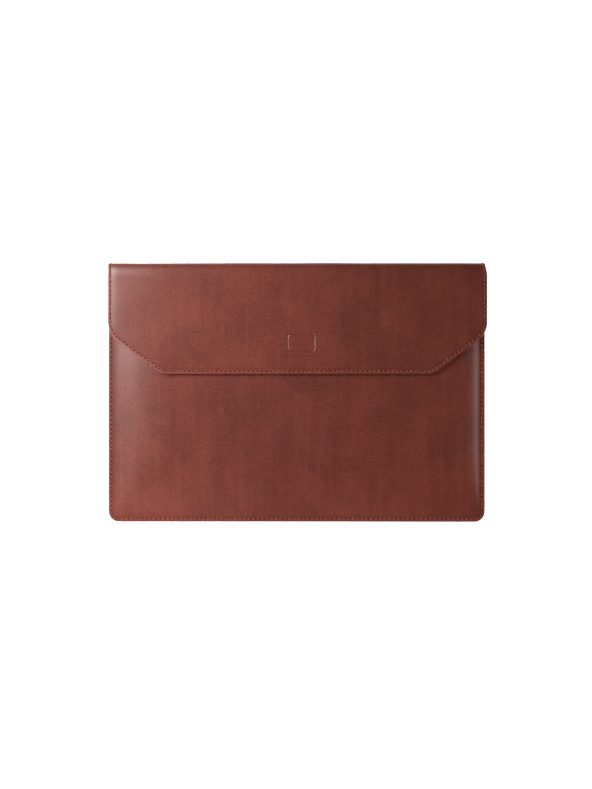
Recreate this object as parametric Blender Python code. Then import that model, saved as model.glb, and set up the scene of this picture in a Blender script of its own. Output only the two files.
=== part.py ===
"""A padded leather envelope sleeve for a slim 13-inch laptop, lying on its back with its flap closed.

X runs along the width, Y from the bottom seam to the fold, and Z up, out of the front. The sleeve is
as thick as it is with a laptop in it. Its leather is one long sheet folded twice around the spine at
the top, so the two folds are the two hinges of the spine and of the flap.
"""

import math

import bmesh
import bpy
from mathutils import Vector

# Outline of the closed sleeve.
BODY_WIDTH = 0.340
BODY_DEPTH = 0.233
CORNER_RADIUS = 0.0093

# Flap, measured from the fold. Each lower corner is cut off along a slanted line.
FLAP_WIDTH = 0.340
FLAP_DEPTH = 0.0993
CUT_WIDTH = 0.0489
CUT_DEPTH = 0.0364
SHOULDER_RADIUS = 0.021
TIP_RADIUS = 0.0145

# Thicknesses of the sheets, and the room left between neighbours.
LEATHER = 0.0012
FOAM = 0.0010
LINING = 0.0005
GAP = 0.0003
FLAP_CLEARANCE = 0.0012
POCKET_HEIGHT = 0.0118

# Seam around the left, bottom and right edges, and the slope from it up to the flat of a panel.
SEAM_HEIGHT = 0.0075
SEAM_WIDTH = 0.005
SLOPE_RUN = 0.011
POCKET_CORNER_RADIUS = 0.004
FOAM_SETBACK = 0.0005
MOUTH_SETBACK = 0.014

# Folds at the top edge.
FOLD_RADIUS = 0.006
LINING_SETBACK = 0.0012
SEAM_END_SETBACK = 0.003
PAD_SETBACK = 0.004
STIFFENER_INSET = 0.006

# Stitching.
THREAD_RADIUS = 0.00025
BODY_STITCH_INSET = 0.0028
FLAP_STITCH_INSET = 0.0025
STITCH_END_SETBACK = 0.0015

# Closure magnets.
MAGNET_RADIUS = 0.0075
MAGNET_THICKNESS = 0.0008
MAGNET_X = 0.105
MAGNET_FROM_FOLD = 0.071

ARC_STEPS = 5
DISC_SIDES = 24

# Heights of the undersides of the sheets, from the floor up, at the middle of the sleeve.
BACK_LEATHER_Z = 0.0
BACK_FOAM_Z = BACK_LEATHER_Z + LEATHER + GAP
BACK_LINING_Z = BACK_FOAM_Z + FOAM + GAP
FRONT_LINING_Z = BACK_LINING_Z + LINING + POCKET_HEIGHT
FRONT_FOAM_Z = FRONT_LINING_Z + LINING + GAP
FRONT_LEATHER_Z = FRONT_FOAM_Z + FOAM + GAP
FLAP_LINING_Z = FRONT_LEATHER_Z + LEATHER + FLAP_CLEARANCE
FLAP_STIFFENER_Z = FLAP_LINING_Z + LINING + GAP
FLAP_LEATHER_Z = FLAP_STIFFENER_Z + FOAM + GAP
TOP_Z = FLAP_LEATHER_Z + LEATHER

# Heights of the undersides of the four sheets that are sewn together in the seam.
SEAM_BACK_LEATHER_Z = SEAM_HEIGHT
SEAM_BACK_LINING_Z = SEAM_BACK_LEATHER_Z + LEATHER + GAP
SEAM_FRONT_LINING_Z = SEAM_BACK_LINING_Z + LINING + GAP
SEAM_FRONT_LEATHER_Z = SEAM_FRONT_LINING_Z + LINING + GAP

# The sleeve is centred on the origin with its stitching, which stands proud of the spine.
THREAD_STAND = GAP + 2 * THREAD_RADIUS
FOLD_Y = (BODY_DEPTH - THREAD_STAND) / 2
BOTTOM_Y = FOLD_Y - BODY_DEPTH
MOUTH_Y = FOLD_Y - MOUTH_SETBACK

# A sheet that bends round a quarter circle keeps its length about an axis this far inside its face.
HINGE_INSET = (1 - math.pi / 4) * FOLD_RADIUS
HINGE_Y = FOLD_Y - HINGE_INSET
PANEL_END_Y = HINGE_Y - GAP / 2
LINING_END_Y = HINGE_Y - LINING_SETBACK
PAD_END_Y = HINGE_Y - PAD_SETBACK
MAGNET_Y = FOLD_Y - MAGNET_FROM_FOLD

# Each finish is a base colour, a roughness and a metallic value.
FINISHES = {
    "leather": ((0.19, 0.045, 0.03), 0.42, 0.0),
    "lining": ((0.16, 0.10, 0.07), 0.9, 0.0),
    "foam": ((0.05, 0.05, 0.055), 0.95, 0.0),
    "stiffener": ((0.30, 0.24, 0.18), 0.8, 0.0),
    "thread": ((0.30, 0.11, 0.07), 0.6, 0.0),
    "magnet": ((0.60, 0.60, 0.62), 0.3, 1.0),
}


def clear_scene():
    for thing in list(bpy.data.objects):
        bpy.data.objects.remove(thing, do_unlink=True)


def add_finish(thing, finish):
    """Gives an object its own material."""
    colour, roughness, metallic = FINISHES[finish]
    material = bpy.data.materials.new(thing.name)
    material.use_nodes = True
    shader = material.node_tree.nodes["Principled BSDF"]
    shader.inputs["Base Color"].default_value = (*colour, 1.0)
    shader.inputs["Roughness"].default_value = roughness
    shader.inputs["Metallic"].default_value = metallic
    thing.data.materials.append(material)


def add_mesh_object(name, mesh_builder, finish=None):
    """Makes a named object from a bmesh, with its faces turned outwards."""
    bmesh.ops.recalc_face_normals(mesh_builder, faces=mesh_builder.faces)
    mesh = bpy.data.meshes.new(name)
    mesh_builder.to_mesh(mesh)
    mesh_builder.free()
    thing = bpy.data.objects.new(name, mesh)
    bpy.context.collection.objects.link(thing)
    if finish:
        add_finish(thing, finish)
    return thing


def rounded(corners, radii):
    """The outline through 2-D corners, each turned by an arc of its own radius."""
    outline = []
    for index, (corner, radius) in enumerate(zip(corners, radii)):
        if radius == 0:
            outline.append(corner)
            continue
        before = (corners[index - 1] - corner).normalized()
        after = (corners[(index + 1) % len(corners)] - corner).normalized()
        half_angle = before.angle(after) / 2
        centre = corner + (before + after).normalized() * radius / math.sin(half_angle)
        first = (corner + before * radius / math.tan(half_angle) - centre).normalized()
        last = (corner + after * radius / math.tan(half_angle) - centre).normalized()
        for step in range(ARC_STEPS + 1):
            outline.append(centre + first.slerp(last, step / ARC_STEPS) * radius)
    return outline


def body_outline(inset, radius, end_y):
    """Down the left edge, along the bottom and up the right edge, this far inside the cut edge."""
    side_x = BODY_WIDTH / 2 - inset
    low_y = BOTTOM_Y + inset
    corners = [
        Vector((-side_x, end_y)),
        Vector((-side_x, low_y)),
        Vector((side_x, low_y)),
        Vector((side_x, end_y)),
    ]
    return rounded(corners, [0, radius, radius, 0])


def flap_outline(inset, end_y):
    """Down the flap's left edge, round its tip and up its right edge, this far inside the cut edge."""
    slant = math.atan2(CUT_DEPTH, CUT_WIDTH)
    side_x = FLAP_WIDTH / 2 - inset
    tip_y = FOLD_Y - FLAP_DEPTH + inset
    shoulder_y = FOLD_Y - FLAP_DEPTH + CUT_DEPTH + inset * math.tan((math.pi / 2 - slant) / 2)
    tip_x = FLAP_WIDTH / 2 - CUT_WIDTH - inset * math.tan(slant / 2)
    corners = [
        Vector((-side_x, end_y)),
        Vector((-side_x, shoulder_y)),
        Vector((-tip_x, tip_y)),
        Vector((tip_x, tip_y)),
        Vector((side_x, shoulder_y)),
        Vector((side_x, end_y)),
    ]
    shoulder, tip = SHOULDER_RADIUS - inset, TIP_RADIUS - inset
    return rounded(corners, [0, shoulder, tip, tip, shoulder, 0])


def add_plate(name, outline, low_z, thickness, finish):
    """A flat sheet: a closed outline raised to its thickness."""
    builder = bmesh.new()
    face = builder.faces.new([builder.verts.new((x, y, low_z)) for x, y in outline])
    raised = bmesh.ops.extrude_face_region(builder, geom=[face])["geom"]
    top = [part for part in raised if isinstance(part, bmesh.types.BMVert)]
    bmesh.ops.translate(builder, verts=top, vec=(0, 0, thickness))
    return add_mesh_object(name, builder, finish)


def add_panel(name, seam_z, flat_z, thickness, end_y, seam_end_y, finish):
    """A sheet whose rim lies flat in the seam and slopes to a flat middle at another height."""
    pocket_inset = SEAM_WIDTH + SLOPE_RUN
    outlines = [
        (body_outline(0, CORNER_RADIUS, seam_end_y), seam_z),
        (body_outline(SEAM_WIDTH, CORNER_RADIUS - SEAM_WIDTH, seam_end_y), seam_z),
        (body_outline(pocket_inset, POCKET_CORNER_RADIUS, end_y), flat_z),
    ]
    builder = bmesh.new()
    low = [[builder.verts.new((x, y, z)) for x, y in ring] for ring, z in outlines]
    high = [[builder.verts.new((x, y, z + thickness)) for x, y in ring] for ring, z in outlines]
    for side in (low, high):
        for outer, inner in zip(side, side[1:]):
            join_rows(builder, outer, inner)
        builder.faces.new(side[-1])
    join_rows(builder, low[0], high[0])
    for end in (0, -1):
        join_rows(builder, [ring[end] for ring in low], [ring[end] for ring in high])
    builder.faces.new([low[-1][0], low[-1][-1], high[-1][-1], high[-1][0]])
    return add_mesh_object(name, builder, finish)


def join_rows(builder, row, other):
    """Fills the strip between two rows of as many vertices."""
    for index in range(len(row) - 1):
        builder.faces.new([row[index], row[index + 1], other[index + 1], other[index]])


def add_box(name, low, high, finish):
    outline = [(low[0], low[1]), (high[0], low[1]), (high[0], high[1]), (low[0], high[1])]
    return add_plate(name, outline, low[2], high[2] - low[2], finish)


def add_disc(name, x, radius, low_z, thickness, finish=None):
    """An upright disc on the line of the magnets."""
    builder = bmesh.new()
    bmesh.ops.create_cone(
        builder, cap_ends=True, segments=DISC_SIDES, radius1=radius, radius2=radius, depth=thickness
    )
    bmesh.ops.translate(builder, verts=builder.verts, vec=(x, MAGNET_Y, low_z + thickness / 2))
    disc = add_mesh_object(name, builder, finish)
    disc.data.shade_smooth()
    disc.data.set_sharp_from_angle(angle=math.radians(30))
    return disc


def add_thread(name, points):
    """A thin tube through the points, which stands for a whole run of stitches."""
    curve = bpy.data.curves.new(name, "CURVE")
    curve.dimensions = "3D"
    curve.bevel_depth = THREAD_RADIUS
    curve.bevel_resolution = 1
    curve.use_fill_caps = True
    spline = curve.splines.new("POLY")
    spline.points.add(len(points) - 1)
    for point, place in zip(spline.points, points):
        point.co = (*place, 1)
    thread = bpy.data.objects.new(name, curve)
    bpy.context.collection.objects.link(thread)
    add_finish(thread, "thread")
    return thread


def at_height(outline, z):
    return [(x, y, z) for x, y in outline]


def add_magnet_pair(prefix, sheet, sheet_z):
    """Two magnets, each in a hole through the sheet that holds it."""
    magnets = []
    for side, x in (("left", -MAGNET_X), ("right", MAGNET_X)):
        cutter = add_disc(f"{prefix}_hole_{side}", x, MAGNET_RADIUS + GAP, sheet_z - GAP, FOAM + 2 * GAP)
        cutter.hide_render = True
        cutter.display_type = "WIRE"
        cut = sheet.modifiers.new(f"hole_{side}", "BOOLEAN")
        cut.object = cutter
        cut.operation = "DIFFERENCE"
        cut.solver = "EXACT"
        low_z = sheet_z + (FOAM - MAGNET_THICKNESS) / 2
        name = f"{prefix}_magnet_{side}"
        magnets.append(add_disc(name, x, MAGNET_RADIUS, low_z, MAGNET_THICKNESS, "magnet"))
    return magnets


def add_back():
    """The back: leather outside, foam, and the lining inside. Its seam stops short of the fold."""
    seam_end = PANEL_END_Y - SEAM_END_SETBACK
    add_panel("back_leather", SEAM_BACK_LEATHER_Z, BACK_LEATHER_Z, LEATHER, PANEL_END_Y, seam_end, "leather")
    lining_seam_end = LINING_END_Y - SEAM_END_SETBACK
    add_panel(
        "back_lining", SEAM_BACK_LINING_Z, BACK_LINING_Z, LINING, LINING_END_Y, lining_seam_end, "lining"
    )
    add_plate("back_foam", foam_outline(PAD_END_Y), BACK_FOAM_Z, FOAM, "foam")


def add_front():
    """The front: the same three sheets up to the mouth, and two magnets in the foam."""
    add_panel("front_leather", SEAM_FRONT_LEATHER_Z, FRONT_LEATHER_Z, LEATHER, MOUTH_Y, MOUTH_Y, "leather")
    add_panel("front_lining", SEAM_FRONT_LINING_Z, FRONT_LINING_Z, LINING, MOUTH_Y, MOUTH_Y, "lining")
    foam = add_plate("front_foam", foam_outline(MOUTH_Y), FRONT_FOAM_Z, FOAM, "foam")
    add_magnet_pair("front", foam, FRONT_FOAM_Z)


def foam_outline(end_y):
    return body_outline(SEAM_WIDTH + SLOPE_RUN + FOAM_SETBACK, POCKET_CORNER_RADIUS, end_y)


def add_body_stitching():
    """One run of stitches on each face of the seam, and one along the mouth."""
    radius = CORNER_RADIUS - BODY_STITCH_INSET
    front_path = body_outline(BODY_STITCH_INSET, radius, MOUTH_Y - STITCH_END_SETBACK)
    front_z = SEAM_FRONT_LEATHER_Z + LEATHER + GAP + THREAD_RADIUS
    add_thread("seam_thread_front", at_height(front_path, front_z))
    back_end = PANEL_END_Y - SEAM_END_SETBACK - STITCH_END_SETBACK
    back_path = body_outline(BODY_STITCH_INSET, radius, back_end)
    back_z = SEAM_BACK_LEATHER_Z - GAP - THREAD_RADIUS
    add_thread("seam_thread_back", at_height(back_path, back_z))
    mouth_x = BODY_WIDTH / 2 - SEAM_WIDTH - SLOPE_RUN - STITCH_END_SETBACK
    mouth_path = [(-mouth_x, MOUTH_Y - BODY_STITCH_INSET), (mouth_x, MOUTH_Y - BODY_STITCH_INSET)]
    add_thread("mouth_thread", at_height(mouth_path, FRONT_LEATHER_Z + LEATHER + GAP + THREAD_RADIUS))


def add_spine():
    """The strip between the two folds, with its lining and the stitching along both of its ends."""
    half_width = FLAP_WIDTH / 2
    low_z = HINGE_INSET + GAP / 2
    inner_y = FOLD_Y - LEATHER
    leather = add_box(
        "spine_leather", (-half_width, inner_y, low_z), (half_width, FOLD_Y, TOP_Z - low_z), "leather"
    )
    lining_low = (-half_width, inner_y - GAP - LINING, BACK_LINING_Z + LINING + GAP)
    lining_high = (half_width, inner_y - GAP, FLAP_LINING_Z - GAP)
    lining = add_box("spine_lining", lining_low, lining_high, "lining")
    pieces = [leather, lining]
    for side, x in (("left", -half_width), ("right", half_width)):
        stitch_x = x - math.copysign(FLAP_STITCH_INSET, x)
        stitch_y = FOLD_Y + GAP + THREAD_RADIUS
        low_end = (stitch_x, stitch_y, low_z + STITCH_END_SETBACK)
        high_end = (stitch_x, stitch_y, TOP_Z - low_z - STITCH_END_SETBACK)
        pieces.append(add_thread(f"spine_thread_{side}", [low_end, high_end]))
    return pieces


def add_flap():
    """The flap: leather outside, a stiffener that holds two magnets, and a lining below."""
    pieces = [
        add_plate("flap_leather", flap_outline(0, PANEL_END_Y), FLAP_LEATHER_Z, LEATHER, "leather"),
        add_plate("flap_lining", flap_outline(0, LINING_END_Y), FLAP_LINING_Z, LINING, "lining"),
    ]
    stiffener_outline = flap_outline(STIFFENER_INSET, PAD_END_Y)
    stiffener = add_plate("flap_stiffener", stiffener_outline, FLAP_STIFFENER_Z, FOAM, "stiffener")
    pieces += [stiffener, *add_magnet_pair("flap", stiffener, FLAP_STIFFENER_Z)]
    path = flap_outline(FLAP_STITCH_INSET, LINING_END_Y - STITCH_END_SETBACK)
    front_z = TOP_Z + GAP + THREAD_RADIUS
    back_z = FLAP_LINING_Z - GAP - THREAD_RADIUS
    pieces.append(add_thread("flap_thread_front", at_height(path, front_z)))
    pieces.append(add_thread("flap_thread_back", at_height(path, back_z)))
    return pieces


def add_fold_axis(name, z, parent, pieces):
    """An empty on a fold's axis, which carries the pieces that turn about it."""
    axis = bpy.data.objects.new(name, None)
    bpy.context.collection.objects.link(axis)
    axis.location = (0, HINGE_Y, z)
    bpy.context.view_layer.update()
    for child, carrier in [(axis, parent)] + [(piece, axis) for piece in pieces]:
        if carrier:
            child.parent = carrier
            child.matrix_parent_inverse = carrier.matrix_world.inverted()
    return axis


def build():
    clear_scene()
    add_back()
    add_front()
    add_body_stitching()
    spine_axis = add_fold_axis("spine_fold_axis", HINGE_INSET, None, add_spine())
    add_fold_axis("flap_fold_axis", TOP_Z - HINGE_INSET, spine_axis, add_flap())


build()
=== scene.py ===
"""The looks of a padded leather laptop sleeve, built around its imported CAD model.

Every leather, lining and pad is one closed sheet, laid out flat as x across and t along it, from a
straight end to the sewn edges. A surface function then folds and pads that flat sheet into place.
"""

import math

import bmesh
import bpy
import numpy as np
from mathutils import Matrix, Vector


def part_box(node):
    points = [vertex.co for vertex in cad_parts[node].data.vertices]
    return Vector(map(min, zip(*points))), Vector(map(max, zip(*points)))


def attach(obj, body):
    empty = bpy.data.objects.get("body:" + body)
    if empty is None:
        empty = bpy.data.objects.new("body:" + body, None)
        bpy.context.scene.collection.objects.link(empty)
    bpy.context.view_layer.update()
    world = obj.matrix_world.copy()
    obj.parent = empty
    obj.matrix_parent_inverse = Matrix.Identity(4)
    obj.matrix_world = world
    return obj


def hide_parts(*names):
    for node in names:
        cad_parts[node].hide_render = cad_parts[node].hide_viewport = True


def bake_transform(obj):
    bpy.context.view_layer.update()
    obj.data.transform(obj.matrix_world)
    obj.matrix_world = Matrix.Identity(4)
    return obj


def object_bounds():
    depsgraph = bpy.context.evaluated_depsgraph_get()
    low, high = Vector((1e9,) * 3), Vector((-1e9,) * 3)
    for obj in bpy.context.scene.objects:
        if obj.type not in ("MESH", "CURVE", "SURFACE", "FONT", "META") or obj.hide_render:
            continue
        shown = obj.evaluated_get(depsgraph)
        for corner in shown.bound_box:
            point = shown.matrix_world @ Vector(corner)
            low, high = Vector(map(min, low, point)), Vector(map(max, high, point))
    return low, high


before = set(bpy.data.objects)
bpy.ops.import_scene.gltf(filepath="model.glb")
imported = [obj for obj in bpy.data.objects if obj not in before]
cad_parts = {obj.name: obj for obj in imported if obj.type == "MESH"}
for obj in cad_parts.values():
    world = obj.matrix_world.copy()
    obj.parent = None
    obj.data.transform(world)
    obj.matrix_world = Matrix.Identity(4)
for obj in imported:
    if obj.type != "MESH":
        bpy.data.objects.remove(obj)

CAD_LOW, CAD_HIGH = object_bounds()
MM = 0.001

# Places and thicknesses of the CAD sheets.
BACK_LOW, BACK_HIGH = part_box("back_leather")
FRONT_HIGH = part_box("front_leather")[1]
SPINE_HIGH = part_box("spine_leather")[1]
FLAP_LOW, FLAP_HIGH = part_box("flap_leather")
LINING_LOW, LINING_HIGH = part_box("flap_lining")
FOAM_LOW, FOAM_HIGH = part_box("back_foam")
HALF_WIDTH = BACK_HIGH.x
BOTTOM_Y = BACK_LOW.y
FOLD_Y = SPINE_HIGH.y
MOUTH_Y = FRONT_HIGH.y
TIP_Y = FLAP_LOW.y
BACK_Z = BACK_LOW.z
FRONT_Z = FRONT_HIGH.z
TOP_Z = FLAP_HIGH.z
LEATHER = FLAP_HIGH.z - FLAP_LOW.z
LINING = LINING_HIGH.z - LINING_LOW.z
FOAM = FOAM_HIGH.z - FOAM_LOW.z
PAD_GAP = 0.3 * MM
PAD_END_Y = FOAM_HIGH.y
PAD_END_RUN = 4.0 * MM

# Outline of the body and of the flap, whose lower corners are cut off on a slant.
CORNER_RADIUS = 9.3 * MM
CUT_WIDTH = 48.9 * MM
CUT_DEPTH = 36.4 * MM
CUT_SLANT = math.atan2(CUT_DEPTH, CUT_WIDTH)
SHOULDER_RADIUS = 21.0 * MM
TIP_RADIUS = 14.5 * MM
PAD_INSET = 16.5 * MM
PAD_RADIUS = 4.0 * MM
STIFFENER_INSET = 6.0 * MM
LINING_SETBACK = 0.3 * MM
BODY_BLUNTNESS = 3
FLAP_BLUNTNESS = 5

# A lining starts to go down under a pad this far outside it, and is down after this run.
FOAM_LEAD = 3.0 * MM
STIFFENER_LEAD = 2.0 * MM
LINING_RUN = 3.0 * MM

# The seam is pressed flat around its middle, and each panel rises from it to its padded middle.
SLACK = 0.12 * MM
SEAM_Z = (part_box("front_lining")[0].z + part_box("back_lining")[1].z) / 2
SEAM_HALF = LINING + LEATHER + 2 * SLACK
SEAM_WIDTH = 3.8 * MM
LEFT_RUN = 72.0 * MM
RIGHT_RUN = 26.0 * MM
BOTTOM_RUN = 90.0 * MM
SLOPE_POWER = 3.5
RIGHT_SEAM_LIFT = 3.0 * MM
SEAM_RISE_RUN = 55.0 * MM
SLOPE_START = 0.12

# The flap hangs a little lower at its sides and towards its tip, and drops at its rim.
SIDE_DROOP = 2.6 * MM
SIDE_DROOP_RUN = 60.0 * MM
RIGHT_LIFT = 1.3 * MM
RIGHT_SPREAD = 1.7 * MM
RIGHT_SPREAD_RUN = 12.0 * MM
TIP_DROOP = 0.8 * MM
TIP_DROOP_RUN = 26.0 * MM
RIM_DROP = 0.35 * MM
RIM_RUN = 12.0 * MM
RIM_SHAPE = 1.5

# Unevenness of the padded faces, and the size of its swells.
SOFTNESS = 0.14 * MM
BODY_SWELL = 90.0 * MM
FLAP_SWELL = 80.0 * MM
SWELL_RUN = 20.0 * MM

# The two folds at the top edge, and the strip between them.
FOLD_RUN = 14.0 * MM
FOLD_RISE = 6.0 * MM
FOLD_STAND = 0.9 * MM
FOLD_START_Y = FOLD_Y - FOLD_RUN
FOLD_TURNS = np.linspace(0, math.pi / 2, 200)
FOLD_SHAPE = 1.3
FOLD_RISES = FOLD_RISE * (1 - np.cos(FOLD_TURNS)) ** FOLD_SHAPE
FOLD_STEPS = np.hypot(FOLD_RUN * np.cos(FOLD_TURNS), np.gradient(FOLD_RISES, FOLD_TURNS))
FOLD_LENGTHS = np.cumsum(FOLD_STEPS) * FOLD_TURNS[1] - FOLD_STEPS[0] * FOLD_TURNS[1]
FOLD_LENGTH = FOLD_LENGTHS[-1]
SPINE_LENGTH = (TOP_Z - BACK_Z) / 2 - FOLD_RISE
SHEET_END_T = FOLD_START_Y + FOLD_LENGTH + SPINE_LENGTH
BEND_REACH = 1.0 * MM
FOLD_REACH = SPINE_LENGTH + FOLD_LENGTH + BEND_REACH

# Stitching.
PITCH = 4.1 * MM
BODY_STITCH = 2.8 * MM
FLAP_STITCH = 2.5 * MM
THREAD_RADIUS = 0.37 * MM
STITCH_SLANT = 0.42 * MM
CHANNEL_DEPTH = 0.24 * MM
CHANNEL_WIDTH = 0.6 * MM
CHANNEL_SWING = 0.3
CREASE_DEPTH = 0.07 * MM
CREASE_OFFSET = 1.7 * MM
CREASE_WIDTH = 0.7 * MM
STITCH_END = 0.15
HOLE_RADIUS = 0.68 * MM
STITCH_SAMPLES = 7
STITCH_SIDES = 8
THREAD_RISE = 0.16 * MM
THREAD_SINK = 0.5 * MM
THREAD_FLAT = 0.8
THREAD_PLIES = 12

# A generic mark, pressed into the flap.
MARK_X = 4.0 * MM
MARK_Y = 45.0 * MM
MARK_WIDTH = 24.0 * MM
MARK_HEIGHT = 15.0 * MM
MARK_CORNER = 2.4 * MM
MARK_LINE = 0.95 * MM
MARK_DEPTH = 0.38 * MM

# Tone of the leather and painted light: where the flap turns darker, a painted highlight and painted shade
# along a crease on the flap, and painted light on the front's left with painted shade on the front towards
# the flap.
FLAP_TONE = 1.02
FLAP_DARKENING = 0.16
DARK_X = 36.0 * MM
DARK_RUN = 16.0 * MM
# The flap's streak is a painted highlight along a crease, with painted shade beside it.
STREAK_X = 78.0 * MM
STREAK_WIDTH = 3.0 * MM
STREAK_RUN = 20.0 * MM
STREAK_PAINTED_HIGHLIGHT = 0.1
STREAK_PAINTED_SHADE = 0.12
FRONT_TONE = 0.99
# Painted light on the front's left, and painted shade on the front that grows towards the flap.
LEFT_PAINTED_LIGHT = 0.08
LEFT_LIGHT_CENTRE = 0.7 * HALF_WIDTH
LEFT_LIGHT_REACH = 0.4 * HALF_WIDTH
FRONT_PAINTED_SHADE = 0.13
FRONT_SHADE_RUN = 100.0 * MM

# The leather's specular level, and linear colours.
LEATHER_SHINE = 0.40
LEATHER_DARK = (0.0650, 0.0110, 0.0064)
LEATHER_LIGHT = (0.0965, 0.0173, 0.0104)
LEATHER_RED = (0.0990, 0.0150, 0.0094)
LEATHER_PALE = (0.1160, 0.0280, 0.0180)
# The deepest brown is the hide's own, and is also used as painted shade in the crease, the stitch channel
# and the mark's lines.
LEATHER_DEEP = (0.0460, 0.0076, 0.0044)
LEATHER_RIM = (0.1120, 0.0205, 0.0130)
LEATHER_FLESH = (0.16, 0.07, 0.045)
EDGE_PAINT = (0.1100, 0.0160, 0.0100)
# The needle holes' near-black colour is painted shade.
HOLE_PAINTED_SHADE = (0.0100, 0.0022, 0.0015)
LINING_LIGHT = (0.125, 0.070, 0.050)
LINING_DARK = (0.085, 0.045, 0.032)
LINING_DEEP = (0.050, 0.026, 0.019)
FOAM_DARK = (0.020, 0.020, 0.022)
FOAM_PALE = (0.070, 0.070, 0.075)
BOARD_DARK = (0.22, 0.17, 0.12)
BOARD_PALE = (0.36, 0.29, 0.21)
THREAD_PALE = (0.2000, 0.0640, 0.0390)
THREAD_DARK = (0.1350, 0.0350, 0.0210)
THREAD_DEEP = (0.0600, 0.0130, 0.0080)
NICKEL_DARK = (0.45, 0.45, 0.46)
NICKEL_PALE = (0.65, 0.64, 0.62)
FLOOR_SHADE = (0.80, 0.80, 0.80)
FLOOR_PALE = (0.83, 0.83, 0.83)

# Studio.
FLOOR_REACH = 12.0
FLOOR_GAP = 0.1 * MM
FLOOR_GLOW = 0.95
WORLD_GLOW = 0.005

# The camera looks straight down from this high, a little below the middle and left of it, and sees
# this much of the seam's level from top to bottom.
CAMERA_HEIGHT = 1.8
CAMERA_LEFT = 0.5 * MM
CAMERA_BELOW = 1.8 * MM
SEEN_HEIGHT = 0.7135

# A cut edge is rounded to this radius, and to no more than this share of the sheet's thickness.
EDGE_RADIUS = 0.4 * MM
EDGE_SHARE = 0.4

# How fine the meshes are: rings inside a sheet's edge, stations per stitch, steps in a round corner.
FINE_INSETS = [
    inset * MM for inset in (6, 5, 4.4, 3.9, 3.5, 3.1, 2.8, 2.5, 2.1, 1.7, 1.2, 0.7, 0.4, 0.2, 0.06, 0)
]
PLAIN_INSETS = [inset * MM for inset in (3, 1.5, 0.25, 0.07, 0)]
LEATHER_STATIONS = 2.0
LINING_STATIONS = 1.0
COARSE_STATIONS = 0.6
MARK_SIDE_PARTS = 4
MARK_TIP_PARTS = 7
HOLE_SIDES = 32
ARC_STEPS = 12
SMALL_STEP = 0.04 * MM


def smooth(value):
    """0 to 1 with a soft start and a soft end."""
    share = np.clip(value, 0, 1)
    return share * share * (3 - 2 * share)


def bump(value, centre, width):
    """A soft ridge of height 1."""
    return np.exp(-(((value - centre) / width) ** 2))


def waves(x, y, size, seed):
    """Soft unevenness between about -1 and 1, with swells of about this size."""
    total = np.zeros(np.broadcast(x, y).shape)
    for number in range(5):
        angle = seed * 1.7 + number * 2.399
        length = size * (0.7 + 0.23 * ((number * 3 + seed) % 4))
        along = x * math.cos(angle) + y * math.sin(angle)
        total = total + np.sin(along * 2 * math.pi / length + seed * 4.1 + number * 1.9)
    return total / 3


# ---- Outlines -------------------------------------------------------------------------------------

class Outline:
    """An open outline: its points and outward normals by length, and where a grid's corners go."""

    def __init__(self, corners, radii=None):
        rows, middles = [], []
        length = 0.0
        here = Vector(corners[0])
        for index in range(1, len(corners)):
            corner = Vector(corners[index])
            direction = (corner - here).normalized()
            normal = Vector((direction.y, -direction.x))
            is_last = index == len(corners) - 1
            turn = 0.0 if is_last else direction.angle(Vector(corners[index + 1]) - corner)
            radius = 0.0 if is_last else radii[index]
            end = corner - direction * radius * math.tan(turn / 2)
            rows.append((length, *here, *normal))
            length += (end - here).length
            rows.append((length, *end, *normal))
            here = end
            if turn:
                middles.append(length + radius * turn / 2)
                centre = end - normal * radius
                for step in range(1, ARC_STEPS + 1):
                    angle = turn * step / ARC_STEPS
                    turned = Matrix.Rotation(angle, 2) @ normal
                    here = centre + turned * radius
                    rows.append((length + radius * angle, *here, *turned))
                length += radius * turn
        self.rows = np.array(rows).T
        self.length = length
        self.end_t = corners[0][1]
        self.corner = middles[len(middles) // 2 - 1] if middles else 0.0
        self.stitches = round(length / PITCH)

    def walk(self, lengths, inset):
        """The points this far along the outline and this far inside it."""
        found = np.array([np.interp(lengths, self.rows[0], row) for row in self.rows[1:]])
        normal = found[2:] / np.linalg.norm(found[2:], axis=0)
        return found[:2] - normal * inset

    def along(self, lengths):
        """The same lengths counted in stitches."""
        return lengths / self.length * self.stitches

    def stations(self, per_stitch=LEATHER_STATIONS, fold_reach=0.0, dense=()):
        """Lengths for a sheet's rim, closer together over a fold and in the dense stretches."""
        count = round(self.stitches * per_stitch)
        step = self.length / count
        lengths = []
        for index in range(count):
            middle = (index + 0.5) * step
            parts = 2 if min(middle, self.length - middle) < fold_reach else 1
            for low, high, dense_parts in dense:
                if low < middle < high:
                    parts = dense_parts
            lengths += [(index + part / parts) * step for part in range(parts)]
        return np.array([*lengths, self.length])


def body_outline(end_t, inset=0.0, radius=CORNER_RADIUS):
    """Down the left edge, along the bottom and up the right edge."""
    side, low = HALF_WIDTH - inset, BOTTOM_Y + inset
    return Outline([(-side, end_t), (-side, low), (side, low), (side, end_t)], [0, radius, radius])


def flap_outline(end_t, inset=0.0):
    """Down the flap's left edge, round its tip and up its right edge."""
    side = HALF_WIDTH - inset
    tip_y = TIP_Y + inset
    shoulder_y = TIP_Y + CUT_DEPTH + inset * math.tan((math.pi / 2 - CUT_SLANT) / 2)
    tip_x = HALF_WIDTH - CUT_WIDTH - inset * math.tan(CUT_SLANT / 2)
    left = [(-side, end_t), (-side, shoulder_y), (-tip_x, tip_y)]
    shoulder, tip = SHOULDER_RADIUS - inset, TIP_RADIUS - inset
    return Outline([*left, *((-x, y) for x, y in reversed(left))], [0, shoulder, tip, tip, shoulder])


def blunt_inset(distances, power):
    """How far inside several edges a point is, with the corners between them rounded off."""
    total = sum(np.maximum(distance, SMALL_STEP) ** -power for distance in distances)
    return total ** (-1 / power)


def body_inset(x, y):
    return blunt_inset([HALF_WIDTH + x, HALF_WIDTH - x, y - BOTTOM_Y], BODY_BLUNTNESS)


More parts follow.
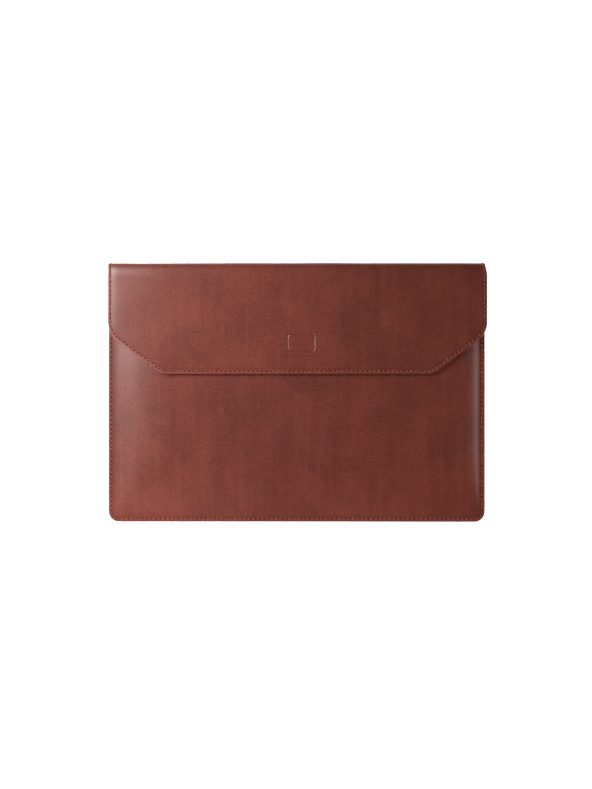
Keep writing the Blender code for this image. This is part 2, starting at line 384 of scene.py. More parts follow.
def flap_inset(x, y):
    from_shoulder = (y - TIP_Y - CUT_DEPTH) * math.cos(CUT_SLANT)
    slants = [(HALF_WIDTH + side * x) * math.sin(CUT_SLANT) + from_shoulder for side in (-1, 1)]
    return blunt_inset([HALF_WIDTH + x, HALF_WIDTH - x, y - TIP_Y, *slants], FLAP_BLUNTNESS)


# ---- Surfaces: the outer faces of the leather -----------------------------------------------------

def slope(x, y):
    """0 in a panel's seam to 1 at its padded middle."""
    edges = [(HALF_WIDTH + x, LEFT_RUN), (HALF_WIDTH - x, RIGHT_RUN), (y - BOTTOM_Y, BOTTOM_RUN)]
    risen = [(inside - SEAM_WIDTH) / run for inside, run in edges]
    share = np.clip(blunt_inset(risen, BODY_BLUNTNESS), 0, 1)
    share = np.sqrt(share * share + SLOPE_START**2) - SLOPE_START
    share = share / (math.sqrt(1 + SLOPE_START**2) - SLOPE_START)
    return 1 - (1 - share) ** SLOPE_POWER


def seam_height(x, y):
    """The seam's middle: it lies on the floor at the fold, rises away from it, and more so on the right."""
    lowest = BACK_Z + SEAM_HALF + 2 * THREAD_RADIUS
    rise = SEAM_Z - lowest + RIGHT_SEAM_LIFT * smooth(x / HALF_WIDTH)
    return lowest + rise * smooth((FOLD_START_Y - y) / SEAM_RISE_RUN)


def front_height(x, y):
    low = seam_height(x, y) + SEAM_HALF
    soft = SOFTNESS * (waves(x, y, BODY_SWELL, 1) - 1)
    return low + (FRONT_Z - low + soft) * slope(x, y)


def back_height(x, y):
    return BACK_Z + (seam_height(x, y) - SEAM_HALF - BACK_Z) * (1 - slope(x, y))


def flap_height(x, y):
    side = np.clip((np.abs(x) - HALF_WIDTH) / SIDE_DROOP_RUN + 1, 0, 1)
    droop = (SIDE_DROOP - RIGHT_LIFT * (x > 0)) * side**2
    tip = np.clip((TIP_Y - y) / TIP_DROOP_RUN + 1, 0, 1)
    inset = flap_inset(x, y)
    rim = RIM_DROP * (1 - smooth(inset / RIM_RUN)) ** RIM_SHAPE
    soft = SOFTNESS * (waves(x, y, FLAP_SWELL, 2) - 1) * smooth(inset / SWELL_RUN)
    return TOP_Z - droop - TIP_DROOP * tip**2 - rim + soft


def front_surface(x, t):
    return np.array([x, t, front_height(x, t)])


def folded_surface(height, side):
    """A surface that goes on over a fold at the top edge, to half way along the spine."""

    def surface(x, t):
        flat_t = np.minimum(t, FOLD_START_Y)
        level = height(x, flat_t)
        middle = (back_height(x, FOLD_START_Y) + flap_height(x, FOLD_START_Y)) / 2
        turn = np.interp(t - FOLD_START_Y, FOLD_LENGTHS, FOLD_TURNS)
        run = np.clip((t - FOLD_START_Y - FOLD_LENGTH) / SPINE_LENGTH, 0, 1)
        curved = FOLD_RISE / (FOLD_RISE + SPINE_LENGTH)
        rise = np.abs(middle - level) * (curved * (1 - np.cos(turn)) ** FOLD_SHAPE + (1 - curved) * run)
        reach = FOLD_RUN + FOLD_STAND + SOFTNESS * (waves(x, 0, BODY_SWELL, 3) - 1)
        return np.array([x, flat_t + reach * np.sin(turn), level - side * rise])

    return surface


back_surface = folded_surface(back_height, -1)
even_flap = folded_surface(flap_height, 1)


def flap_surface(x, t):
    """The folded flap, whose right side spreads a little beyond the sleeve below the fold."""
    points = even_flap(x, t)
    points[0] += RIGHT_SPREAD * smooth(x / HALF_WIDTH) * smooth((FOLD_Y - t) / RIGHT_SPREAD_RUN)
    return points


def place(surface, side, x, t, depth):
    """Points this deep under a surface, and its normals. Side 1 faces up and side -1 faces down."""
    across = surface(x + SMALL_STEP, t) - surface(x - SMALL_STEP, t)
    along = surface(x, t + SMALL_STEP) - surface(x, t - SMALL_STEP)
    normal = side * np.cross(across.T, along.T)
    normal /= np.linalg.norm(normal, axis=1)[:, None]
    return surface(x, t).T - normal * np.broadcast_to(depth, x.shape)[:, None], normal


# ---- Relief of the leather's outer face -----------------------------------------------------------

def stitched_relief(stitch):
    """The channel that the stitches pull into the leather, deepest at their holes, and its crease."""

    def relief(x, t, edge, along):
        pull = 1 - CHANNEL_SWING + CHANNEL_SWING * np.cos(2 * math.pi * along)
        crease = CREASE_DEPTH * bump(edge, stitch + CREASE_OFFSET, CREASE_WIDTH)
        return CHANNEL_DEPTH * bump(edge, stitch, CHANNEL_WIDTH) * pull + crease

    return relief


def mark_line(x, y):
    """Distance from the lines of the pressed mark: a small open laptop, as any generic icon shows."""
    across, up = np.abs(x - MARK_X), y - MARK_Y
    beyond_x = across - MARK_WIDTH / 2 + MARK_CORNER
    beyond_y = np.abs(up) - MARK_HEIGHT / 2 + MARK_CORNER
    outside = np.hypot(np.maximum(beyond_x, 0), np.maximum(beyond_y, 0))
    screen = outside + np.minimum(np.maximum(beyond_x, beyond_y), 0) - MARK_CORNER
    base_x = np.maximum(across - MARK_WIDTH / 2 - MARK_CORNER, 0)
    base = np.hypot(base_x, up + MARK_HEIGHT / 2 + 2 * MARK_CORNER)
    return np.minimum(np.abs(screen), base)


def pressed(x, t):
    """1 in the lines of the mark and 0 beside them."""
    return 1 - smooth(mark_line(x, t) / MARK_LINE)


def flap_relief(x, t, edge, along):
    return stitched_relief(FLAP_STITCH)(x, t, edge, along) + MARK_DEPTH * pressed(x, t)


# ---- Tone, painted light and painted shade across a panel -----------------------------------------

def flap_tone_and_painted_light(x, t):
    """The flap's colour turns darker on its right, with a painted highlight along a crease and painted
    shade beside it.
    """
    painted_highlight = STREAK_PAINTED_HIGHLIGHT * bump(x, STREAK_X, STREAK_WIDTH)
    painted_shade = STREAK_PAINTED_SHADE * bump(x, STREAK_X - 2 * STREAK_WIDTH, STREAK_WIDTH)
    painted_crease_light = (painted_highlight - painted_shade) * smooth((t - MARK_Y) / STREAK_RUN)
    return FLAP_TONE - FLAP_DARKENING * smooth((x - DARK_X) / DARK_RUN + 0.5) + painted_crease_light


def front_painted_light_and_shade(x, t):
    """Painted light towards the front's left, and painted shade that grows from its lower edge up towards
    the flap.
    """
    left = LEFT_PAINTED_LIGHT * bump(x, -LEFT_LIGHT_CENTRE, LEFT_LIGHT_REACH)
    return FRONT_TONE + left - FRONT_PAINTED_SHADE * smooth((t - BOTTOM_Y) / FRONT_SHADE_RUN)


# ---- Sheets ---------------------------------------------------------------------------------------

def make_piece(name, points, faces, sharp_angle=50):
    """A smooth mesh piece with its faces turned outwards."""
    mesh = bpy.data.meshes.new(name)
    mesh.from_pydata(points.tolist(), [], faces)
    builder = bmesh.new()
    builder.from_mesh(mesh)
    bmesh.ops.recalc_face_normals(builder, faces=builder.faces)
    builder.to_mesh(mesh)
    builder.free()
    mesh.shade_smooth()
    mesh.set_sharp_from_angle(angle=math.radians(sharp_angle))
    piece = bpy.data.objects.new(name, mesh)
    bpy.context.scene.collection.objects.link(piece)
    return piece


def add_values(piece, name, values):
    attribute = piece.data.attributes.new(name, "FLOAT", "POINT")
    attribute.data.foreach_set("value", np.asarray(values, np.float32))


def add_vectors(piece, name, vectors):
    attribute = piece.data.attributes.new(name, "FLOAT_VECTOR", "POINT")
    attribute.data.foreach_set("vector", np.asarray(vectors, np.float32).ravel())


def read_flat(piece):
    """Where a sheet's points lie on the flat sheet."""
    flat = np.zeros(len(piece.data.vertices) * 3, np.float32)
    piece.data.attributes["flat"].data.foreach_get("vector", flat)
    return flat[0::3], flat[1::3]


def shares(line):
    """How far along a line of points each of them is, from 0 to 1."""
    steps = np.linalg.norm(np.diff(line), axis=0)
    return np.concatenate([[0], np.cumsum(steps)]) / steps.sum()


def fill(border, left):
    """Rows of points inside a border that goes down in this many steps, across, and up again."""
    down, up = border[:, : left + 1], border[:, -left - 1 :][:, ::-1]
    foot = border[:, left : border.shape[1] - left]
    v, u = shares(down)[None, :, None], shares(foot)[None, None, :]
    sides = down[:, :, None] * (1 - u) + up[:, :, None] * u
    return sides + v * (foot[:, None, :] - sides[:, -1:, :])


def border_of(rows, columns):
    """A grid's indices down its left side, along its foot and up its right side."""
    left = np.arange(rows) * columns
    foot = (rows - 1) * columns + np.arange(1, columns)
    right = np.arange(rows - 2, -1, -1) * columns + columns - 1
    return np.concatenate([left, foot, right])


def sheet_faces(rows, columns, rings):
    """Both faces of a sheet, the strips around its edge, and the flat cut at its straight end."""
    faces = []
    for start in (0, rows * columns):
        for row in range(rows - 1):
            for corner in range(start + row * columns, start + row * columns + columns - 1):
                faces.append((corner, corner + 1, corner + columns + 1, corner + columns))
    for ring, other in zip(rings, rings[1:]):
        for index in range(len(ring) - 1):
            faces.append((ring[index], ring[index + 1], other[index + 1], other[index]))
    for column in range(columns - 1):
        far = rows * columns + column
        faces.append((column, column + 1, far + 1, far))
    for end in (0, -1):
        for number in range(len(rings) // 2 - 1):
            near = (rings[number][end], rings[number + 1][end])
            faces.append((*near, rings[-2 - number][end], rings[-1 - number][end]))
    return faces


def round_off(inset):
    """How deep a rounded edge lies under the face, this far inside the edge."""
    reach = np.clip(EDGE_RADIUS - np.asarray(inset), 0, EDGE_RADIUS)
    return EDGE_RADIUS - np.sqrt(EDGE_RADIUS**2 - reach**2)


def add_sheet(name, outline, lengths, surface, side, thickness, under=0.0, insets=PLAIN_INSETS,
              setback=0.0, stitch=0.0, inset_of=body_inset, relief=None, is_end_round=False):
    """A closed sheet of this thickness, whose outer face lies this far under a surface."""
    left = int(np.argmin(np.abs(lengths - outline.corner)))
    grid = fill(outline.walk(lengths, setback + insets[0]), left)
    rows, columns = grid.shape[1:]
    size, count = rows * columns, len(lengths)
    border = border_of(rows, columns)
    outer = [(inset, float(np.minimum(round_off(inset), EDGE_SHARE * thickness))) for inset in insets]
    inner = [(inset, thickness - depth) for inset, depth in reversed(outer)]
    grid_edge = np.maximum(inset_of(*grid.reshape(2, -1)), insets[0])
    grid_edge[border] = insets[0]
    grid_along = np.zeros(size)
    grid_along[border] = outline.along(lengths)
    flat, depth = [grid.reshape(2, -1)] * 2, [np.zeros(size), np.full(size, thickness)]
    edge, along, skin = [grid_edge] * 2, [grid_along] * 2, [np.ones(size), np.zeros(size)]
    rings = [border]
    for number, (inset, ring_depth) in enumerate([*outer[1:], *inner[:-1]]):
        rings.append(2 * size + number * count + np.arange(count))
        flat.append(outline.walk(lengths, setback + inset))
        depth.append(np.full(count, ring_depth))
        edge.append(np.full(count, inset))
        along.append(outline.along(lengths))
        skin.append(np.full(count, float(number < len(outer) - 1)))
    rings.append(size + border)
    x, t = np.concatenate(flat, axis=1)
    depth, edge, along, skin = (np.concatenate(parts) for parts in (depth, edge, along, skin))
    if is_end_round:
        end = round_off(outline.end_t - t)
        depth = np.where(skin > 0, np.maximum(depth, end), np.minimum(depth, thickness - end))
    if relief:
        depth = depth + skin * relief(x, t, edge, along)
    base = under(x, t) if callable(under) else under
    points, _ = place(surface, side, x, t, depth + base)
    piece = make_piece(name, points, sheet_faces(rows, columns, [ring.tolist() for ring in rings]))
    add_vectors(piece, "flat", np.array([x, t, 0 * t]).T)
    add_values(piece, "stitch", edge - stitch)
    add_values(piece, "edge", edge)
    add_values(piece, "along", along)
    add_values(piece, "skin", skin)
    return piece


# ---- Stitches -------------------------------------------------------------------------------------

def stitch_faces(count):
    """Tubes closed at both ends, each of as many rings as a stitch has samples."""
    faces = []
    for first in range(0, count * STITCH_SAMPLES * STITCH_SIDES, STITCH_SAMPLES * STITCH_SIDES):
        rings = [
            [first + sample * STITCH_SIDES + side for side in range(STITCH_SIDES)]
            for sample in range(STITCH_SAMPLES)
        ]
        for ring, other in zip(rings, rings[1:]):
            for side in range(STITCH_SIDES):
                after = (side + 1) % STITCH_SIDES
                faces.append((ring[side], ring[after], other[after], other[side]))
        faces += [tuple(rings[0]), tuple(rings[-1])]
    return faces


def add_stitches(name, outline, inset, surface, side, level=0.0, out=1):
    """Separate slanted stitches along an outline, each from one hole to the next."""
    number = np.arange(outline.stitches)[:, None, None]
    share = np.linspace(0, 1, STITCH_SAMPLES)[None, :, None]
    turn = np.linspace(0, 2 * math.pi, STITCH_SIDES, endpoint=False)[None, None, :]
    uneven = 1 + 0.25 * np.sin(number * 2.4) * np.sin(number * 1.1)
    bow = 1 - np.abs(2 * share - 1) ** 3
    radius = THREAD_RADIUS * (0.7 + 0.3 * bow) * (1 + 0.1 * np.cos(2 * turn + 9 * share))
    length = outline.length / outline.stitches * (number + STITCH_END + (1 - 2 * STITCH_END) * share)
    sideways = STITCH_SLANT * uneven * (2 * share - 1) + radius * np.cos(turn)
    x, t = outline.walk(length + 0 * turn, inset + sideways)
    height = THREAD_SINK * (bow - 1) + THREAD_RISE * bow * uneven + THREAD_FLAT * radius * np.sin(turn)
    points, _ = place(surface, side, x.ravel(), t.ravel(), level - out * height.ravel())
    piece = make_piece(name, points, stitch_faces(outline.stitches), sharp_angle=80)
    add_values(piece, "twist", (THREAD_PLIES * share + 0 * number + turn / math.pi).ravel())
    return piece


# ---- Materials ------------------------------------------------------------------------------------

class Finish:
    """A material of nodes around one Principled shader."""

    def __init__(self, name, roughness=0.5, metallic=0.0):
        self.material = bpy.data.materials.new(name)
        self.material.use_nodes = True
        self.tree = self.material.node_tree
        self.shader = self.tree.nodes["Principled BSDF"]
        self.shader.inputs["Roughness"].default_value = roughness
        self.shader.inputs["Metallic"].default_value = metallic

    def add(self, kind, inputs, output=0, **settings):
        """Adds a node whose inputs are values, or outputs of other nodes, and returns its output."""
        node = self.tree.nodes.new("ShaderNode" + kind)
        for name, value in settings.items():
            setattr(node, name, value)
        for name, value in inputs.items():
            if isinstance(value, bpy.types.NodeSocket):
                self.tree.links.new(value, node.inputs[name])
            else:
                node.inputs[name].default_value = value
        return node.outputs[output]

    def read(self, name, output="Fac"):
        return self.add("Attribute", {}, output, attribute_name=name)

    def calc(self, operation, first, second=0.0, third=0.0):
        return self.add("Math", {0: first, 1: second, 2: third}, operation=operation)

    def noise(self, where, scale, detail, roughness):
        inputs = {"Vector": where, "Scale": scale, "Detail": detail, "Roughness": roughness}
        return self.add("TexNoise", inputs, "Fac")

    def stretch(self, where, scale):
        return self.add("Mapping", {"Vector": where, "Scale": scale})

    def span(self, value, low, high, start=0.0, end=1.0):
        """Takes a value from low..high softly to start..end."""
        inputs = {"Value": value, "From Min": low, "From Max": high, "To Min": start, "To Max": end}
        return self.add("MapRange", inputs, interpolation_type="SMOOTHSTEP")

    def band(self, value, centre, width):
        """1 where a value is within this width of a centre, and softly 0 outside."""
        apart = self.calc("ABSOLUTE", self.calc("SUBTRACT", value, centre))
        return self.span(apart, width * 0.4, width, 1.0, 0.0)

    def mix(self, share, first, second):
        colours = [c if isinstance(c, bpy.types.NodeSocket) else (*c, 1.0) for c in (first, second)]
        inputs = {0: share, 6: colours[0], 7: colours[1]}
        return self.add("Mix", inputs, 2, data_type="RGBA")

    def colour(self, colour):
        self.tree.links.new(colour, self.shader.inputs["Base Color"])

    def rough(self, roughness):
        self.tree.links.new(roughness, self.shader.inputs["Roughness"])

    def shine(self, level):
        self.tree.links.new(level, self.shader.inputs["Specular IOR Level"])

    def emboss(self, height, distance, strength):
        inputs = {"Height": height, "Distance": distance, "Strength": strength}
        self.tree.links.new(self.add("Bump", inputs), self.shader.inputs["Normal"])


def hide_colour(finish, flat, cloud, pebble):
    """The hide's mottled, streaked and speckled brown, darker between its pebbles."""
    mottle = finish.noise(flat, scale=24, detail=4, roughness=0.6)
    streak = finish.noise(finish.stretch(flat, (140, 9, 1)), scale=1, detail=4, roughness=0.6)
    speckle = finish.noise(flat, scale=620, detail=3, roughness=0.7)
    shade = finish.mix(finish.span(mottle, 0.3, 0.7), LEATHER_DARK, LEATHER_LIGHT)
    layers = [
        (cloud, 0.4, 0.8, 0.25, LEATHER_RED),
        (streak, 0.5, 0.75, 0.35, LEATHER_PALE),
        (streak, 0.5, 0.28, 0.35, LEATHER_DEEP),
        (speckle, 0.45, 0.7, 0.65, LEATHER_DEEP),
        (speckle, 0.5, 0.3, 0.55, LEATHER_PALE),
        (pebble, 0.35, 0.9, 0.5, LEATHER_DEEP),
    ]
    for pattern, none_at, full_at, strength, colour in layers:
        shade = finish.mix(finish.span(pattern, none_at, full_at, 0.0, strength), shade, colour)
    return shade


def needle_hole(finish, stitch, along):
    """1 in the holes between the stitches, by distance from the stitching and along it."""
    from_hole = finish.calc("MULTIPLY", finish.calc("PINGPONG", along, 0.5), PITCH)
    squares = [finish.calc("MULTIPLY", side, side) for side in (from_hole, stitch)]
    distance = finish.calc("SQRT", finish.calc("ADD", *squares))
    return finish.span(distance, HOLE_RADIUS / 2, HOLE_RADIUS, 1.0, 0.0)


def leather_finish():
    """Smooth leather with a fine pebble, painted edges and needle holes, and painted shade in the crease
    beside its stitching, its stitch channel, the mark's lines and the needle holes.
    """
    finish = Finish("leather")
    flat = finish.read("flat", "Vector")
    names = ("stitch", "edge", "along", "skin", "mark")
    stitch, edge, along, skin, mark = (finish.read(name) for name in names)
    cloud = finish.noise(flat, scale=170, detail=4, roughness=0.65)
    pebble = finish.add("TexVoronoi", {"Vector": flat, "Scale": 850}, "Distance", feature="SMOOTH_F1")
    fine = finish.noise(flat, scale=2600, detail=2, roughness=0.6)
    crease = finish.band(stitch, CREASE_OFFSET, 2 * CREASE_WIDTH)
    channel = finish.band(stitch, 0.0, CHANNEL_WIDTH)
    hole = needle_hole(finish, stitch, along)
    from_edge = finish.span(edge, 0.4 * MM, 0.8 * MM)
    inside = finish.calc("MULTIPLY", finish.span(skin, 0.2, 0.8, 1.0, 0.0), from_edge)

    shade = hide_colour(finish, flat, cloud, pebble)
    # Painted shade in the crease beside the stitching, in the stitch channel, in the mark's pressed lines
    # and in the needle holes; the paler rim, the edge paint and the flesh side are the leather's own
    # colours.
    layers = [
        (finish.calc("MULTIPLY", crease, 0.2), LEATHER_DEEP),
        (finish.span(stitch, -1.3 * MM, -0.4 * MM, 0.5, 0.0), LEATHER_RIM),
        (finish.calc("MULTIPLY", channel, 0.3), LEATHER_DEEP),
        (finish.calc("MULTIPLY", mark, 0.55), LEATHER_DEEP),
        (hole, HOLE_PAINTED_SHADE),
        (finish.span(edge, 0.2 * MM, 0.5 * MM, 1.0, 0.0), EDGE_PAINT),
        (inside, LEATHER_FLESH),
    ]
    for share, colour in layers:
        shade = finish.mix(share, shade, colour)
    # The colour is scaled by the tone attribute, which holds painted light and painted shade as well as the
    # leather's tone.
    finish.colour(finish.add("VectorMath", {0: shade, "Scale": finish.read("tone_and_painted_light")}, operation="SCALE"))

    dull = finish.calc("MAXIMUM", hole, channel)
    rough = finish.calc("MULTIPLY_ADD", pebble, 0.03, finish.span(cloud, 0.2, 0.8, 0.36, 0.41))
    finish.rough(finish.calc("MULTIPLY_ADD", dull, 0.3, rough))
    finish.shine(finish.calc("MULTIPLY_ADD", dull, -0.35, LEATHER_SHINE))
    grain = finish.calc("MULTIPLY_ADD", pebble, -1.0, finish.calc("MULTIPLY", fine, 0.4))
    finish.emboss(finish.calc("MULTIPLY_ADD", hole, -4.0, grain), distance=0.05 * MM, strength=0.35)
    return finish.material


def lining_finish():
    """Brushed microfibre: short nap with a soft, uneven lie."""
    finish = Finish("lining", roughness=0.92)
    finish.shader.inputs["Sheen Weight"].default_value = 0.35
    finish.shader.inputs["Sheen Roughness"].default_value = 0.5
    flat = finish.read("flat", "Vector")
    lie = finish.noise(flat, scale=60, detail=4, roughness=0.6)
    nap = finish.noise(finish.stretch(flat, (2600, 900, 1)), scale=1, detail=3, roughness=0.7)
    shade = finish.mix(finish.span(lie, 0.3, 0.7), LINING_DARK, LINING_LIGHT)
    finish.colour(finish.mix(finish.span(nap, 0.3, 0.7, 0.0, 0.35), shade, LINING_DEEP))
    finish.emboss(nap, distance=0.12 * MM, strength=0.7)
    return finish.material


def foam_finish():
    """Dark foam with fine cells."""
    finish = Finish("foam", roughness=0.95)
    flat = finish.read("flat", "Vector")
    cells = finish.add("TexVoronoi", {"Vector": flat, "Scale": 1500}, "Distance")
    finish.colour(finish.mix(finish.span(cells, 0.1, 0.6), FOAM_PALE, FOAM_DARK))
    finish.emboss(cells, distance=0.2 * MM, strength=0.8)
    return finish.material


def board_finish():
    """Brown board whose fibres run across the flap."""
    finish = Finish("stiffener", roughness=0.8)
    flat = finish.read("flat", "Vector")
    fibre = finish.noise(finish.stretch(flat, (300, 2200, 1)), scale=1, detail=5, roughness=0.7)
    finish.colour(finish.mix(finish.span(fibre, 0.3, 0.7), BOARD_DARK, BOARD_PALE))
    finish.emboss(fibre, distance=0.1 * MM, strength=0.6)
    return finish.material


def thread_finish():
    """Waxed thread of twisted plies."""
    finish = Finish("thread", roughness=0.7)
    finish.shader.inputs["Specular IOR Level"].default_value = 0.2
    twist = finish.calc("PINGPONG", finish.read("twist"), 0.5)
    where = finish.add("TexCoord", {}, "Object")
    wear = finish.noise(where, scale=240, detail=3, roughness=0.6)
    shade = finish.mix(finish.span(wear, 0.35, 0.7), THREAD_DARK, THREAD_PALE)
    finish.colour(finish.mix(finish.span(twist, 0.0, 0.18, 0.5, 0.0), shade, THREAD_DEEP))
    finish.emboss(finish.span(twist, 0.0, 0.25), distance=0.1 * MM, strength=0.7)
    return finish.material


def magnet_finish():
    """Nickel plate with fine scratches."""
    finish = Finish("magnet", metallic=1.0)
    where = finish.add("TexCoord", {}, "Object")
    scratch = finish.noise(finish.stretch(where, (900, 60, 60)), scale=1, detail=4, roughness=0.7)
    finish.colour(finish.mix(finish.span(scratch, 0.3, 0.7), NICKEL_DARK, NICKEL_PALE))
    finish.rough(finish.span(scratch, 0.3, 0.7, 0.22, 0.4))
    finish.emboss(scratch, distance=0.02 * MM, strength=0.4)
    return finish.material


def floor_finish():
    """A pale floor that glows enough to stay even and white."""
    finish = Finish("floor", roughness=0.9)
    where = finish.add("TexCoord", {}, "Object")
    grain = finish.noise(where, scale=900, detail=2, roughness=0.5)
    finish.colour(finish.mix(grain, FLOOR_SHADE, FLOOR_PALE))
    finish.shader.inputs["Emission Color"].default_value = (1, 1, 1, 1)
    finish.shader.inputs["Emission Strength"].default_value = FLOOR_GLOW
    return finish.material


# ---- Shared by several pieces ---------------------------------------------------------------------

def pad_end(t):
    """1 over the pads, which end before the fold, and 0 on the spine."""
    return smooth((PAD_END_Y - t) / PAD_END_RUN + 1)


def under_pad(inset_of, start):
    """How deep the lining lies: close under the leather near its edge, and under the pad inside it."""

    def depth(x, t):
        cover = smooth((inset_of(x, t) - start) / LINING_RUN)
        return LEATHER + SLACK + (FOAM + 2 * PAD_GAP) * cover * pad_end(t)

    return depth


under_foam = under_pad(body_inset, PAD_INSET - FOAM_LEAD)
under_stiffener = under_pad(flap_inset, STIFFENER_INSET - STIFFENER_LEAD)


def dense_stretches(outline):
    """The stretches of the flap's rim that stand level with the pressed mark or below it."""
    reach = MARK_WIDTH / 2 + 3 * MARK_CORNER
    low, high = MARK_Y - MARK_HEIGHT / 2 - 4 * MARK_CORNER, MARK_Y + MARK_HEIGHT / 2 + MARK_CORNER
    lengths = np.linspace(0, outline.length / 2, 4000)
    _, y = outline.walk(lengths, FINE_INSETS[0])
    top, foot = lengths[y < high][0], lengths[y < low][0]
    middle = outline.length / 2
    scale = (middle - outline.corner) / (HALF_WIDTH - FINE_INSETS[0])
    left, right = middle + (MARK_X - reach) * scale, middle + (MARK_X + reach) * scale
    return [
        (top, foot, MARK_SIDE_PARTS),
        (outline.length - foot, outline.length - top, MARK_SIDE_PARTS),
        (left, right, MARK_TIP_PARTS),
    ]


def cut_magnet_holes(pad, magnets):
    """Cuts a hole through a pad for each magnet that lies in it."""
    for node in magnets:
        low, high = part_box(node)
        bpy.ops.mesh.primitive_cylinder_add(
            vertices=HOLE_SIDES,
            radius=(high.x - low.x) / 2 + PAD_GAP,
            depth=4 * FOAM,
            location=(low + high) / 2,
        )
        cutter = bpy.context.object
        cut = pad.modifiers.new("hole", "BOOLEAN")
        cut.object, cut.operation, cut.solver = cutter, "DIFFERENCE", "EXACT"
        bpy.context.view_layer.update()
        shown = pad.evaluated_get(bpy.context.evaluated_depsgraph_get())
        mesh = bpy.data.meshes.new_from_object(shown)
        pad.modifiers.clear()
        pad.data = mesh
        bpy.data.objects.remove(cutter, do_unlink=True)


def bend(piece):
    """Bakes a piece's placement into its mesh."""
    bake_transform(piece)


def finish_piece(piece, material, replaced):
    """Gives a piece its material, and hides the CAD nodes that it stands for."""
    piece.data.materials.clear()
    piece.data.materials.append(material)
    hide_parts(*replaced)


# ---- Leather --------------------------------------------------------------------------------------

BACK_EDGE = body_outline(SHEET_END_T)
FRONT_EDGE = body_outline(MOUTH_Y)
FLAP_EDGE = flap_outline(SHEET_END_T)


def add_leather_back(material):
    steps = BACK_EDGE.stations(fold_reach=FOLD_REACH)
    piece = add_sheet("leather_back", BACK_EDGE, steps, back_surface, -1, LEATHER, insets=FINE_INSETS,
                      stitch=BODY_STITCH, relief=stitched_relief(BODY_STITCH))
    add_values(piece, "tone_and_painted_light", np.ones(len(piece.data.vertices)))
    finish_piece(piece, material, ["back_leather", "spine_leather"])
    bend(piece)


def add_leather_flap(material):
    steps = FLAP_EDGE.stations(fold_reach=FOLD_REACH, dense=dense_stretches(FLAP_EDGE))
    piece = add_sheet("leather_flap", FLAP_EDGE, steps, flap_surface, 1, LEATHER, insets=FINE_INSETS,
                      stitch=FLAP_STITCH, inset_of=flap_inset, relief=flap_relief)
    x, t = read_flat(piece)
    add_values(piece, "mark", pressed(x, t))
    add_values(piece, "tone_and_painted_light", flap_tone_and_painted_light(x, t))
    finish_piece(piece, material, ["flap_leather", "spine_leather"])
    bend(piece)


def add_leather_front(material):
    piece = add_sheet("leather_front", FRONT_EDGE, FRONT_EDGE.stations(), front_surface, 1, LEATHER,
                      insets=FINE_INSETS, stitch=BODY_STITCH, relief=stitched_relief(BODY_STITCH),
                      is_end_round=True)
    add_values(piece, "tone_and_painted_light", front_painted_light_and_shade(*read_flat(piece)))
    finish_piece(piece, material, ["front_leather"])
    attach(piece, "sleeve")


# ---- Linings --------------------------------------------------------------------------------------

def add_lining_back(material):
    steps = BACK_EDGE.stations(LINING_STATIONS, FOLD_REACH)
    piece = add_sheet("lining_back", BACK_EDGE, steps, back_surface, -1, LINING, under=under_foam,
                      setback=LINING_SETBACK)
    finish_piece(piece, material, ["back_lining", "spine_lining"])
    bend(piece)


def add_lining_flap(material):
    steps = FLAP_EDGE.stations(LINING_STATIONS, FOLD_REACH)
    piece = add_sheet("lining_flap", FLAP_EDGE, steps, flap_surface, 1, LINING, under=under_stiffener,
                      setback=LINING_SETBACK, inset_of=flap_inset)
    finish_piece(piece, material, ["flap_lining", "spine_lining"])
    bend(piece)


def add_lining_front(material):
    piece = add_sheet("lining_front", FRONT_EDGE, FRONT_EDGE.stations(COARSE_STATIONS), front_surface, 1,
                      LINING, under=under_foam, setback=LINING_SETBACK)
    finish_piece(piece, material, ["front_lining"])
    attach(piece, "sleeve")


# ---- Pads and magnets -----------------------------------------------------------------------------

def add_pad(name, outline, surface, side, material, replaced, body, magnets=()):
    """Foam or board close under the leather, with a hole around each magnet."""
    pad = add_sheet(name, outline, outline.stations(COARSE_STATIONS), surface, side, FOAM,
                    under=LEATHER + PAD_GAP)
    cut_magnet_holes(pad, magnets)
    finish_piece(pad, material, [replaced])
    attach(pad, body)


def add_pads(foam, board, magnet):
    """The back's foam, and the front's foam and the flap's stiffener around two magnets each."""
    front_magnets = ["front_magnet_left", "front_magnet_right"]
    flap_magnets = ["flap_magnet_left", "flap_magnet_right"]
    back_pad = body_outline(PAD_END_Y, PAD_INSET, PAD_RADIUS)
    front_pad = body_outline(MOUTH_Y, PAD_INSET, PAD_RADIUS)
    flap_pad = flap_outline(PAD_END_Y, STIFFENER_INSET)
    add_pad("foam_back", back_pad, back_surface, -1, foam, "back_foam", "sleeve")
    add_pad("foam_front", front_pad, front_surface, 1, foam, "front_foam", "sleeve", front_magnets)
    add_pad("stiffener", flap_pad, flap_surface, 1, board, "flap_stiffener", "flap",
            flap_magnets)
    for name in front_magnets + flap_magnets:
        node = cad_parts[name]
        node.data.materials.clear()
        node.data.materials.append(magnet)


# ---- Threads --------------------------------------------------------------------------------------

def add_body_threads(material):
    """The seam's thread on the front, and on the back as far as half way along the spine."""
    front = add_stitches("stitches_front", FRONT_EDGE, BODY_STITCH, front_surface, 1)
    finish_piece(front, material, ["seam_thread_front"])
    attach(front, "sleeve")
    back = add_stitches("stitches_back", BACK_EDGE, BODY_STITCH, back_surface, -1)
    finish_piece(back, material, ["seam_thread_back", "spine_thread_left"])
    bend(back)


def add_flap_threads(material):
    """The flap's thread on its leather and on its lining."""
    outside = add_stitches("stitches_flap", FLAP_EDGE, FLAP_STITCH, flap_surface, 1)
    finish_piece(outside, material, ["flap_thread_front", "spine_thread_right"])
    bend(outside)
    under = LEATHER + SLACK + LINING
    inside = add_stitches("stitches_flap_inside", FLAP_EDGE, FLAP_STITCH, flap_surface, 1, under, -1)
    finish_piece(inside, material, ["flap_thread_back"])
    bend(inside)


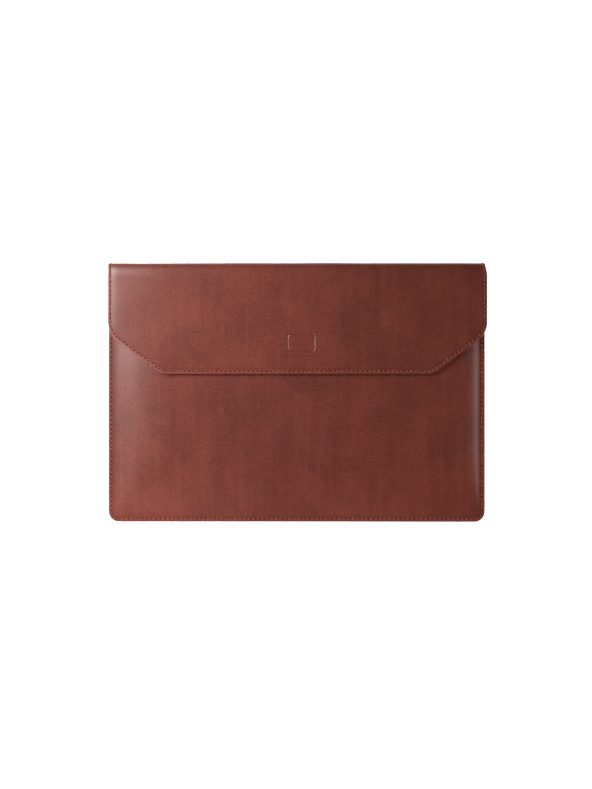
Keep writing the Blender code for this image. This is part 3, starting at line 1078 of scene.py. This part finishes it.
def add_mouth_thread(material):
    """The hem's thread along the pocket's mouth, on the front."""
    side = HALF_WIDTH - PAD_INSET
    line = Outline([(-side, MOUTH_Y - BODY_STITCH), (side, MOUTH_Y - BODY_STITCH)])
    piece = add_stitches("stitches_mouth", line, 0.0, front_surface, 1)
    finish_piece(piece, material, ["mouth_thread"])
    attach(piece, "sleeve")


def build_sleeve():
    leather, lining, thread = leather_finish(), lining_finish(), thread_finish()
    add_leather_back(leather)
    add_leather_flap(leather)
    add_leather_front(leather)
    add_lining_back(lining)
    add_lining_flap(lining)
    add_lining_front(lining)
    add_pads(foam_finish(), board_finish(), magnet_finish())
    add_body_threads(thread)
    add_flap_threads(thread)
    add_mouth_thread(thread)


# ---- Studio ---------------------------------------------------------------------------------------

def add_floor():
    builder = bmesh.new()
    bmesh.ops.create_grid(builder, x_segments=8, y_segments=8, size=FLOOR_REACH)
    mesh = bpy.data.meshes.new("floor")
    builder.to_mesh(mesh)
    builder.free()
    mesh.materials.append(floor_finish())
    floor = bpy.data.objects.new("floor", mesh)
    floor.location.z = min(0.0, CAD_LOW.z) - FLOOR_GAP
    bpy.context.scene.collection.objects.link(floor)


def add_light(name, location, size, power):
    """A white rectangular light that points at the middle of the scene."""
    light = bpy.data.lights.new(name, "AREA")
    light.shape, light.size, light.size_y = "RECTANGLE", *size
    light.energy = power
    lamp = bpy.data.objects.new(name, light)
    lamp.location = location
    lamp.rotation_euler = (Vector() - Vector(location)).to_track_quat("-Z", "Y").to_euler()
    bpy.context.scene.collection.objects.link(lamp)


def add_studio():
    add_light("key", location=(-0.46, 0.26, 0.38), size=(0.28, 0.35), power=9.7)
    add_light("low", location=(-0.5, -0.5, 0.32), size=(0.4, 0.3), power=10.8)
    add_light("side", location=(1.2, 0.0, 0.16), size=(0.3, 0.8), power=36.0)
    add_light("under", location=(0.0, 0.0, -1.5), size=(1.5, 1.5), power=20.0)
    scene = bpy.context.scene
    scene.view_settings.view_transform = "Standard"
    scene.world = bpy.data.worlds.new("studio")
    scene.world.use_nodes = True
    background = scene.world.node_tree.nodes["Background"]
    background.inputs["Color"].default_value = (1, 1, 1, 1)
    background.inputs["Strength"].default_value = WORLD_GLOW


def add_camera():
    camera = bpy.data.objects.new("camera", bpy.data.cameras.new("camera"))
    middle = (CAD_LOW + CAD_HIGH) / 2
    camera.location = (middle.x - CAMERA_LEFT, middle.y - CAMERA_BELOW, CAMERA_HEIGHT)
    distance = CAMERA_HEIGHT - SEAM_Z - SEAM_HALF
    camera.data.lens = camera.data.sensor_width * distance / SEEN_HEIGHT
    camera.data.clip_start, camera.data.clip_end = 0.1, 20
    bpy.context.scene.collection.objects.link(camera)
    bpy.context.scene.camera = camera


build_sleeve()
add_floor()
add_studio()
add_camera()
